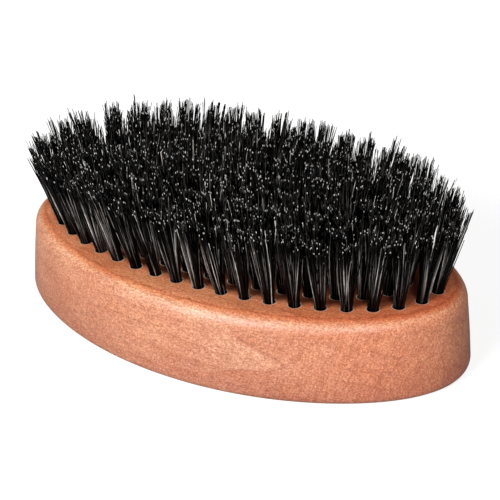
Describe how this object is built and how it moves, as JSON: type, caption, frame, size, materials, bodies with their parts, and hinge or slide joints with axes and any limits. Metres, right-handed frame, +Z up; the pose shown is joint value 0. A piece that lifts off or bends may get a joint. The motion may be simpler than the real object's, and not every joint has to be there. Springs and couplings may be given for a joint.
{
  "type": "beard brush",
  "caption": "Oval palm brush for a beard: a rounded solid wood block with a dense field of dark bristle tufts that fan outwards in concentric oval rows.",
  "frame": {"origin": "centre of the block's flat underside", "axes": "+X along the block's length, +Y across it, +Z up from the flat underside to the bristle tips"},
  "size_m": [0.12, 0.068, 0.0415],
  "materials": {
    "pear_wood": "fine-grained pinkish-orange pear wood, sanded and oiled to a satin sheen",
    "boar_bristle": "black natural boar bristle with a waxy gloss",
    "anchor_steel": "flat drawn steel wire"
  },
  "bodies": {
    "root": {"block": "pear_wood", "tuft_01": "boar_bristle", "tuft_02": "boar_bristle", "tuft_03": "boar_bristle", "tuft_04": "boar_bristle", "tuft_05": "boar_bristle", "tuft_06": "boar_bristle", "tuft_07": "boar_bristle", "tuft_08": "boar_bristle", "tuft_09": "boar_bristle", "tuft_10": "boar_bristle", "tuft_11": "boar_bristle", "tuft_12": "boar_bristle", "tuft_13": "boar_bristle", "tuft_14": "boar_bristle", "tuft_15": "boar_bristle", "tuft_16": "boar_bristle", "tuft_17": "boar_bristle", "tuft_18": "boar_bristle", "tuft_19": "boar_bristle", "tuft_20": "boar_bristle", "tuft_21": "boar_bristle", "tuft_22": "boar_bristle", "tuft_23": "boar_bristle", "tuft_24": "boar_bristle", "tuft_25": "boar_bristle", "tuft_26": "boar_bristle", "tuft_27": "boar_bristle", "tuft_28": "boar_bristle", "tuft_29": "boar_bristle", "tuft_30": "boar_bristle", "tuft_31": "boar_bristle", "tuft_32": "boar_bristle", "tuft_33": "boar_bristle", "tuft_34": "boar_bristle", "tuft_35": "boar_bristle", "tuft_36": "boar_bristle", "tuft_37": "boar_bristle", "tuft_38": "boar_bristle", "tuft_39": "boar_bristle", "tuft_40": "boar_bristle", "tuft_41": "boar_bristle", "bristle_ring_2": "boar_bristle", "bristle_ring_3": "boar_bristle", "bristle_ring_4": "boar_bristle", "bristle_centre": "boar_bristle", "anchor_02": "anchor_steel", "anchor_05": "anchor_steel", "anchor_08": "anchor_steel", "anchor_11": "anchor_steel", "anchor_14": "anchor_steel", "anchor_17": "anchor_steel", "anchor_20": "anchor_steel", "anchor_22": "anchor_steel", "anchor_25": "anchor_steel", "anchor_28": "anchor_steel", "anchor_31": "anchor_steel", "anchor_34": "anchor_steel", "anchor_37": "anchor_steel", "anchor_40": "anchor_steel"}
  },
  "joints": []
}
